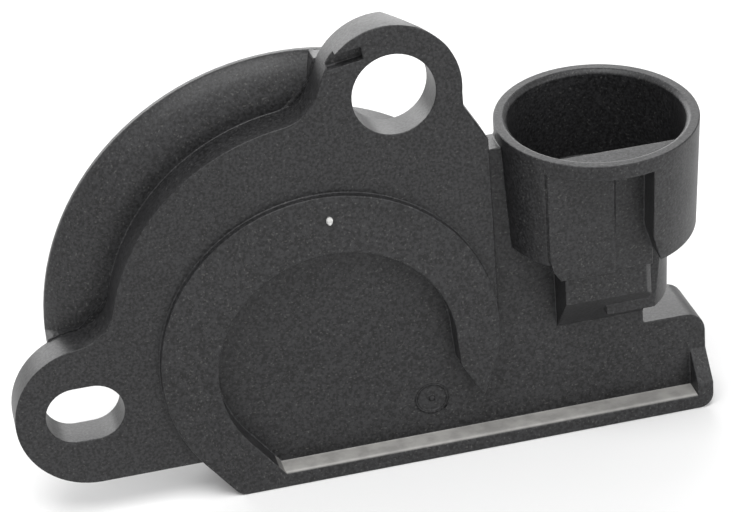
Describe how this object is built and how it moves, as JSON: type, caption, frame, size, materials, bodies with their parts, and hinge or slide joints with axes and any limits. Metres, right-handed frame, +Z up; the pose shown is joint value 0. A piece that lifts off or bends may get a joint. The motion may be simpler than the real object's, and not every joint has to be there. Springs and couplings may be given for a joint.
{
  "type": "throttle position sensor",
  "caption": "Flat moulded sensor housing with two screw ears and an upright round connector, with a sprung rotor driven from the back.",
  "frame": {"origin": "on the rotor's axis, in the plane of the housing's back, where the rear pilot starts", "axes": "+Y from the front face to the throttle body behind it, along the rotor's axis; +Z up towards the connector's mouth; +X to the connector's side"},
  "size_m": [0.0623, 0.0187, 0.0416],
  "materials": {
    "housing_plastic": "satin moulded black plastic",
    "cover_plastic": "matt moulded black plastic",
    "gasket_rubber": "matt rubber",
    "element_ceramic": "fired white ceramic plate",
    "resistor_ink": "printed carbon track",
    "silver_ink": "printed silver ink, matt",
    "rivet_brass": "plain brass",
    "terminal_tin": "tinned strip, bright",
    "potting_resin": "cast sealing resin, glossy",
    "bush_bronze": "sintered bronze, matt",
    "seal_rubber": "matt rubber",
    "steel": "bright spring steel",
    "rotor_plastic": "natural moulded plastic",
    "wiper_bronze": "spring bronze strip"
  },
  "bodies": {
    "case": {"housing": "housing_plastic", "back_cover": "cover_plastic", "cover_gasket": "gasket_rubber", "element_plate": "element_ceramic", "resistor_track": "resistor_ink", "collector_track": "silver_ink", "conductor_traces": "silver_ink", "contact_rivet_1": "rivet_brass", "contact_rivet_2": "rivet_brass", "contact_rivet_3": "rivet_brass", "terminal_1": "terminal_tin", "terminal_2": "terminal_tin", "terminal_3": "terminal_tin", "terminal_potting": "potting_resin", "bearing_bush": "bush_bronze", "shaft_seal": "seal_rubber", "thrust_washer": "steel", "return_spring": "steel"},
    "rotor": {"rotor": "rotor_plastic", "pivot_pin": "steel", "wiper": "wiper_bronze", "wiper_rivet_1": "rivet_brass", "wiper_rivet_2": "rivet_brass", "drive_clip": "steel"}
  },
  "joints": [
    {"name": "rotor_turn", "type": "hinge", "parent": "case", "child": "rotor", "pos_m": [0, 0, 0], "axis": [0, 1, 0], "range_deg": [0, 95], "stiffness_Nm_per_rad": 0.015, "springref_deg": -20.05, "deforming": ["return_spring"]}
  ]
}
